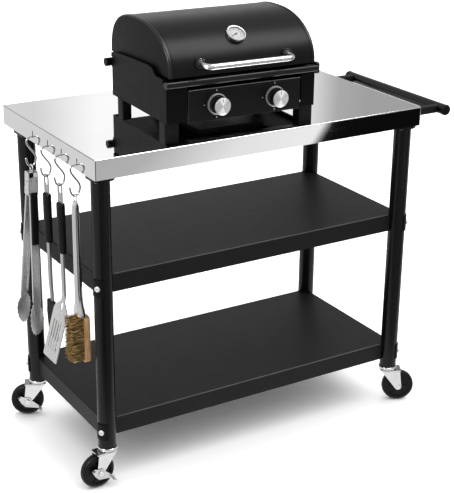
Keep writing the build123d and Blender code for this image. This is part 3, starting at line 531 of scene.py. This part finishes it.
# the lid's rims get the glossier edge enamel; its flat end faces get the darker painted-shade copy
for q in lid.data.polygons:
    lx = (back @ q.center).x / MM
    if LID_X0 + 0.05 < lx < LID_X0 + 7.6 or LID_X1 - 7.6 < lx < LID_X1 - 0.05:
        q.material_index = 1
    elif lx < LID_X0 + 0.04 or lx > LID_X1 - 0.04:
        q.material_index = 2
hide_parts("grill_lid")
LUG = [(160, 134), (160, 110), (166, 98), (181, 98), (184, 110), (184, 134), (179, 150), (172.5, 150), (171.6, 134.2)]
for s in (-1, 1):
    xa, xb = sorted((s * 178.0, s * 186.0))
    V = [G(x, y, z) for x in (xa, xb) for y, z in LUG]
    k = len(LUG)
    FC = [tuple(range(k)), tuple(range(2 * k - 1, k - 1, -1))] + [(i, k + i, k + (i + 1) % k, (i + 1) % k) for i in range(k)]
    piece("lid_lug_%s" % ("left" if s < 0 else "right"), V, FC, M["black_enamel"], "lid", 30)
hz = lid_z(-150.0)
for s in (-1, 1):
    at = GRILL @ Matrix.Translation(Vector((s * 116.0 * MM, -144.0 * MM, hz * MM))) @ Matrix.Rotation(math.radians(90), 4, "X")
    v, f = lathe([(7.3, 4.0), (11.4, 4.0), (11.4, 12.6), (10.6, 14.2), (8.6, 14.6), (7.3, 14.6)], at, 48)
    piece("handle_ferrule_%s" % ("left" if s < 0 else "right"), v, f, M["black_plastic"], "lid", 30)

# ------------------------------------------------------------------ hooks
HOOK_PTS = [(9, -47), (7.5, -39.5), (3, -35.2), (0, -34.6), (-6, -34.2), (-13, -36.5), (-17.5, -42), (-16.5, -50), (-10, -61),
            (-1, -73), (4.5, -84), (4, -94), (0, -103), (-8, -107), (-15.5, -103), (-19, -95), (-20.5, -86)]


def through(pts, n=8):
    """Smooth line through (x, z) points."""
    q = [Vector((2 * pts[0][0] - pts[1][0], 2 * pts[0][1] - pts[1][1]))] + [Vector(a) for a in pts]
    q.append(2 * q[-1] - q[-2])
    out = []
    for i in range(1, len(q) - 2):
        a, b, c, e = q[i - 1:i + 3]
        for k in range(n):
            u = k / n
            out.append(0.5 * (2 * b + (c - a) * u + (2 * a - 5 * b + 4 * c - e) * u * u + (3 * b - a - 3 * c + e) * u ** 3))
    return out + [q[-2]]


def bent_wire(line, x0, y0, z0, r, sides=14, across=False, thin=None):
    """Round wire along a line in the xz plane, or in the yz plane with across; thin drawn near its start."""
    V, F = [], []
    rows = []
    for i, a in enumerate(line):
        d_ = (line[min(i + 1, len(line) - 1)] - line[max(i - 1, 0)]).normalized()
        k = 1.0 if thin is None else min(1.0, max(0.0, (i / len(line) - 0.27) / 0.10))
        rows.append((a, d_, r if thin is None else thin + (r - thin) * k))
    head, tail = rows[0], rows[-1]
    r0 = head[2]
    caps0 = [(head[0] - head[1] * r0 * 0.8 * math.sin(w), head[1], r0 * math.cos(w)) for w in (1.4, 1.0, 0.55)]
    caps1 = [(tail[0] + tail[1] * r * 0.8 * math.sin(w), tail[1], r * math.cos(w)) for w in (0.55, 1.0, 1.4)]
    rows = caps0 + rows + caps1
    for a, d_, rr in rows:
        for k in range(sides):
            w = 2 * math.pi * k / sides
            inp, out_, up = a.x - d_.y * rr * math.cos(w), rr * math.sin(w), z0 + a.y + d_.x * rr * math.cos(w)
            V.append(P(x0 + out_, y0 + inp, up) if across else P(x0 + inp, y0 + out_, up))
    for i in range(len(rows) - 1):
        for k in range(sides):
            j = (k + 1) % sides
            F.append((i * sides + k, i * sides + j, (i + 1) * sides + j, (i + 1) * sides + k))
    F.append(tuple(range(sides)))
    F.append(tuple(range((len(rows) - 1) * sides, len(rows) * sides)))
    return V, F


for i, hy in enumerate(HOOK_Y):
    v, f = bent_wire(through(HOOK_PTS), -W / 2 + 0.75, hy, H, 2.42, thin=1.8)
    hk = piece("hook_wire_%d" % (i + 1), v, f, HOOK, "s_hook_%d" % (i + 1), 60)
    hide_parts("s_hook_%d" % (i + 1))

# ------------------------------------------------------------------ bristles
y4 = HOOK_Y[3]
wires = []
for iy in range(9):
    for iz in range(19):
        cy0, cz0 = y4 - 18.4 + 4.6 * iy, H - 513.0 + 5.83 * iz
        for k in range(9):
            a, rr = RNG.random() * 2 * math.pi, 1.5 * math.sqrt(RNG.random())
            dy, dz = rr * math.cos(a), rr * math.sin(a)
            fan_y, fan_z = RNG.gauss(0, 0.6) + dy * 0.5, RNG.gauss(0, 0.6) + dz * 0.5
            ln = 33.6 + RNG.uniform(-5.0, 0.8)
            p0 = P(EYE_X + 2.5, cy0 + dy, cz0 + dz)
            y_end = min(y4 + 20.8, max(y4 - 20.8, cy0 + dy + fan_y))
            z_end = min(H - 405.3, max(H - 515.7, cz0 + dz + fan_z))
            wires.append(wire(p0, P(EYE_X + 2 - ln, y_end, z_end), 0.00036))
v, f = join(wires)
bris = piece("bristle_wires", v, f, M["brass"], "brush", 50)
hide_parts("brush_bristles")
bm = bmesh.new()
bmesh.ops.create_cube(bm, size=1.0)
for vt in bm.verts:
    vt.co = Vector((EYE_X + 2.02 + (vt.co.x + 0.5) * 15.0, y4 + vt.co.y * 48.0, H - 461.0 + vt.co.z * 118.0))
bmesh.ops.bevel(bm, geom=[e for e in bm.edges if abs(e.verts[0].co.x - e.verts[1].co.x) > 1], offset=7.0, segments=6, affect="EDGES", profile=0.5)
bmesh.ops.bevel(bm, geom=[e for e in bm.edges if all(abs(q.co.x - EYE_X - 17.02) < 0.01 for q in e.verts)], offset=3.0, segments=4, affect="EDGES", profile=0.5)
bm.verts.ensure_lookup_table()
bm.verts.index_update()
v, f = [P(*q.co) for q in bm.verts], [tuple(q.index for q in fc.verts) for fc in bm.faces]
bm.free()
blk = piece("brush_wood_block", v, f, M["wood"], "brush", 30)
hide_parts("brush_block")

# pressed steel handle of the brush: oval tube, flared at the block, flattened under its hanging loop
LOFT = [(-402.2, 9.2, 22.4, 1.0), (-401.0, 9.5, 22.6, 1.0), (-396.0, 9.5, 22.0, 1.0), (-388.0, 9.3, 19.4, 0.8), (-378.0, 9.1, 15.6, 0.6), (-366.0, 8.9, 12.6, 0.3),
        (-352.0, 8.8, 10.6, 0.0), (-330.0, 8.8, 10.2, 0.0), (-240.0, 8.7, 10.0, 0.0), (-160.0, 8.5, 9.8, 0.0), (-140.0, 8.1, 9.6, 0.0),
        (-131.0, 7.0, 9.3, 0.0), (-125.0, 5.2, 9.0, 0.0), (-121.2, 3.0, 8.7, 0.0), (-119.4, 1.9, 8.4, 0.0), (-118.8, 1.0, 7.8, 0.0)]
V, FC, ns = [], [], 40
for dz, hx, hy_, off_ in LOFT:
    ex = 0.62 if dz < -385 else 0.85
    for k in range(ns):
        w = 2 * math.pi * k / ns
        V.append(P(EYE_X + off_ + hx * math.copysign(abs(math.cos(w)) ** ex, math.cos(w)), y4 + hy_ * math.copysign(abs(math.sin(w)) ** ex, math.sin(w)), H + dz))
for i in range(len(LOFT) - 1):
    for k in range(ns):
        j = (k + 1) % ns
        FC.append((i * ns + k, i * ns + j, (i + 1) * ns + j, (i + 1) * ns + k))
FC.append(tuple(range(ns)))
FC.append(tuple(range((len(LOFT) - 1) * ns, len(LOFT) * ns)))
loop = bent_wire(through([(-7.4, -121.0), (-7.9, -112.5), (-6.2, -105.2), (0.0, -102.5), (6.2, -105.2), (7.9, -112.5), (7.4, -121.0)]), EYE_X, y4, H, 1.1, 12, True)
v, f = join([(V, FC), loop])
hb = piece("brush_tube", v, f, BRIGHT, "brush", 45)
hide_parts("brush_handle")

# ------------------------------------------------------------------ painted highlight: a light line along the front fold of each shelf
fold_highlights = [slab(Matrix.Translation(P(0, 0, 0)), -399.0, 399.0, -228.08, -225.8, zt - 1.8, zt + 0.12) for zt in (546.5, 172.0)]
v, f = join(fold_highlights)
piece("shelf_fold_highlights", v, f, SHELF_FOLD_HIGHLIGHT, "cart", 30)

# ------------------------------------------------------------------ painted shade: dark backs inside the hook slots, above the wires
shade_backs = [slab(Matrix.Translation(P(0, 0, 0)), -W / 2 + 0.7, -W / 2 + 1.45, sy - 2.45, sy + 2.45, H - 31.6, H - 19.8) for sy in HOOK_Y]
v, f = join(shade_backs)
piece("slot_backs_painted_shade", v, f, INK_AND_SLOT_SHADE, "cart", 30)

# ------------------------------------------------------------------ fold of the top along its left edge, drawn as a painted shade line of darker, duller steel
v, f = slab(Matrix.Translation(P(0, 0, 0)), -W / 2 - 0.12, -W / 2 + 1.5, -D / 2 + 1.5, D / 2 - 1.5, H - 1.5, H + 0.12)
piece("top_fold_shade_line", v, f, TOP_FOLD_SHADE, "cart", 30)

# ------------------------------------------------------------------ studio
scene = bpy.context.scene


def stage_plane(name, size, loc, rot=(0, 0, 0)):
    bpy.ops.mesh.primitive_plane_add(size=1, location=loc, rotation=rot)
    o = bpy.context.object
    o.name = name
    o.scale = (size[0], size[1], 1)
    return o


# white floor; for glossy rays it glows with a painted pattern of light and dark areas, a painted reflection of the
# studio
floor = stage_plane("floor", (60, 60), (0, 0, 0))
fm = bpy.data.materials.new("floor_white_painted_reflections")
fm.use_nodes = True
nt = fm.node_tree
nt.nodes.clear()
out = nt.nodes.new("ShaderNodeOutputMaterial")
dif = nt.nodes.new("ShaderNodeBsdfDiffuse")
dif.inputs["Color"].default_value = (0.94, 0.94, 0.94, 1)
eye = nt.nodes.new("ShaderNodeBsdfDiffuse")
eye.inputs["Color"].default_value = (1.2, 1.2, 1.2, 1)
reflection_glow = nt.nodes.new("ShaderNodeEmission")
geo = nt.nodes.new("ShaderNodeNewGeometry")
sep = nt.nodes.new("ShaderNodeSeparateXYZ")
nt.links.new(geo.outputs["Position"], sep.inputs[0])
s = math2(nt, "ADD", sep.outputs["X"], sep.outputs["Y"])
OFF = (SX + SY) * MM


def g3(v):
    return (v, v, v)


def sp_(v):
    return (v + OFF + 6.0) / 8.0


front = ramp(nt, span(nt, s, 0.0, 1.0, -6.0, 2.0), [
    (sp_(-5.0), g3(0.50)), (sp_(-4.2), g3(0.45)), (sp_(-3.9), g3(0.07)), (sp_(-2.7), g3(0.05)), (sp_(-2.3), g3(0.46)),
    (sp_(-1.9), g3(0.48)), (sp_(-1.70), g3(0.50)), (sp_(-1.5), g3(0.64)), (sp_(-1.2), g3(0.88)), (sp_(-0.755), g3(0.97)), (sp_(-0.72), g3(0.004))])
far = span(nt, sep.outputs["Y"], 1.0, 0.0, -2.25, -1.75, True)
near = span(nt, sep.outputs["Y"], 0.27, 0.92, -0.68, -0.42, True)
left = span(nt, sep.outputs["X"], 1.0, 0.0, -1.1, -0.75, True)
mixa = nt.nodes.new("ShaderNodeMix")
mixa.data_type = "RGBA"
nt.links.new(left, mixa.inputs[0])
nt.links.new(near, mixa.inputs[6])
mixa.inputs[7].default_value = (0.72, 0.72, 0.72, 1)
mixb = nt.nodes.new("ShaderNodeMix")
mixb.data_type = "RGBA"
nt.links.new(far, mixb.inputs[0])
nt.links.new(mixa.outputs[2], mixb.inputs[6])
nt.links.new(front, mixb.inputs[7])
ua = math2(nt, "ADD", math2(nt, "MULTIPLY", sep.outputs["X"], -0.5225), math2(nt, "MULTIPLY", sep.outputs["Y"], -0.8526))
ub = math2(nt, "ADD", math2(nt, "MULTIPLY", sep.outputs["X"], 0.8526), math2(nt, "MULTIPLY", sep.outputs["Y"], -0.5225))
off = math2(nt, "ABSOLUTE", math2(nt, "ADD", ub, 0.32), 0.0)
wedge = math2(nt, "MULTIPLY", span(nt, ua, 0.0, 1.0, 0.75, 1.15, True), span(nt, off, 1.0, 0.0, 0.2, 0.42, True))
mixc = nt.nodes.new("ShaderNodeMix")
mixc.data_type = "RGBA"
nt.links.new(wedge, mixc.inputs[0])
nt.links.new(mixb.outputs[2], mixc.inputs[6])
mixc.inputs[7].default_value = (0.05, 0.05, 0.05, 1)
nt.links.new(mixc.outputs[2], reflection_glow.inputs["Color"])
lpf = nt.nodes.new("ShaderNodeLightPath")
mxs = nt.nodes.new("ShaderNodeMixShader")
nt.links.new(lpf.outputs["Is Glossy Ray"], mxs.inputs[0])
mxe = nt.nodes.new("ShaderNodeMixShader")
nt.links.new(lpf.outputs["Is Camera Ray"], mxe.inputs[0])
nt.links.new(dif.outputs[0], mxe.inputs[1])
nt.links.new(eye.outputs[0], mxe.inputs[2])
nt.links.new(mxe.outputs[0], mxs.inputs[1])
nt.links.new(reflection_glow.outputs[0], mxs.inputs[2])
nt.links.new(mxs.outputs[0], out.inputs["Surface"])
floor.data.materials.append(fm)

world = bpy.data.worlds.new("studio")
scene.world = world
world.use_nodes = True
wn = world.node_tree
wn.nodes.clear()
wout = wn.nodes.new("ShaderNodeOutputWorld")
bg_cam = wn.nodes.new("ShaderNodeBackground")
bg_cam.inputs["Color"].default_value = (1, 1, 1, 1)
bg_cam.inputs["Strength"].default_value = 1.0
bg_env = wn.nodes.new("ShaderNodeBackground")
tc = wn.nodes.new("ShaderNodeTexCoord")
sepw = wn.nodes.new("ShaderNodeSeparateXYZ")
wn.links.new(tc.outputs["Generated"], sepw.inputs[0])
azi = math2(wn, "ARCTAN2", sepw.outputs["X"], sepw.outputs["Y"])


def az_(deg):
    return (deg + 180.0) / 360.0


ring = ramp(wn, span(wn, azi, 0.0, 1.0, -math.pi, math.pi), [
    (az_(-180), g3(0.5)), (az_(-120), g3(0.85)), (az_(-20), g3(0.85)), (az_(10), g3(0.74)), (az_(23.0), g3(0.72)), (az_(24.75), g3(1.07)),
    (az_(34.6), g3(1.06)), (az_(35.6), g3(0.67)), (az_(36.0), g3(0.54)), (az_(36.8), g3(0.42)), (az_(37.6), g3(0.39)), (az_(100), g3(0.40)), (az_(180), g3(0.5))])
high = span(wn, sepw.outputs["Z"], 0.0, 1.0, 0.37, 0.52, True)
mxw = wn.nodes.new("ShaderNodeMix")
mxw.data_type = "RGBA"
wn.links.new(high, mxw.inputs[0])
wn.links.new(ring, mxw.inputs[6])
mxw.inputs[7].default_value = (0.55, 0.55, 0.55, 1)
wn.links.new(mxw.outputs[2], bg_env.inputs["Color"])
bg_env.inputs["Strength"].default_value = 1.0
lp = wn.nodes.new("ShaderNodeLightPath")
mx = wn.nodes.new("ShaderNodeMixShader")
wn.links.new(lp.outputs["Is Camera Ray"], mx.inputs[0])
bg_dif = wn.nodes.new("ShaderNodeBackground")
sky = math2(wn, "ADD", math2(wn, "MULTIPLY", sepw.outputs["Z"], 1.9), math2(wn, "MULTIPLY", sepw.outputs["X"], 0.4))
wn.links.new(math2(wn, "MAXIMUM", math2(wn, "ADD", sky, 0.10), 0.05), bg_dif.inputs["Strength"])
bg_dif.inputs["Color"].default_value = (1, 1, 1, 1)
mxd = wn.nodes.new("ShaderNodeMixShader")
wn.links.new(lp.outputs["Is Diffuse Ray"], mxd.inputs[0])
wn.links.new(bg_env.outputs[0], mxd.inputs[1])
wn.links.new(bg_dif.outputs[0], mxd.inputs[2])
wn.links.new(mxd.outputs[0], mx.inputs[1])
wn.links.new(bg_cam.outputs[0], mx.inputs[2])
wn.links.new(mx.outputs[0], wout.inputs["Surface"])


def area(name, loc, target, size, power, glossy=True, diffuse=True):
    l = bpy.data.lights.new(name, "AREA")
    l.shape = "RECTANGLE"
    l.size, l.size_y = size
    l.energy = power
    o = bpy.data.objects.new(name, l)
    scene.collection.objects.link(o)
    o.location = loc
    o.rotation_euler = (Vector(target) - Vector(loc)).to_track_quat("-Z", "Y").to_euler()
    o.visible_glossy = glossy
    o.visible_diffuse = diffuse
    return o


area("overhead", (0.95, 0.3, 4.2), (0.1, 0.0, 0.0), (5.0, 5.0), 60, glossy=False)
area("left_strip", (-2.3, -0.43, 2.4), (-0.24, -0.1, 1.0), (0.8, 0.8), 60, diffuse=False)
area("softbox", (0.77, -0.78, 2.90), (-0.04, 0.0, 1.0), (1.4, 1.6), 52, diffuse=False)

# ------------------------------------------------------------------ camera
F, YAW, PITCH, ROLL = 1263.857, math.radians(31.5148), math.radians(21.5359), math.radians(-0.658)
h = Vector((math.sin(YAW) * math.cos(PITCH), math.cos(YAW) * math.cos(PITCH), -math.sin(PITCH)))
r = Vector((math.cos(YAW), -math.sin(YAW), 0))
d = h.cross(r)
c, s_ = math.cos(ROLL), math.sin(ROLL)
rx, dn = c * r + s_ * d, -s_ * r + c * d
cam = bpy.data.cameras.new("photo_camera")
cam.sensor_fit = "HORIZONTAL"
cam.sensor_width = 36.0
cam.lens = F * 36.0 / 454.0
cam.clip_end = 100
co = bpy.data.objects.new("photo_camera", cam)
scene.collection.objects.link(co)
rot = Matrix((rx, -dn, -h)).transposed()
co.matrix_world = Matrix.Translation(P(-1581.834, -2655.673, H + 839.467)) @ rot.to_4x4()
scene.camera = co
scene.view_settings.view_transform = "Standard"
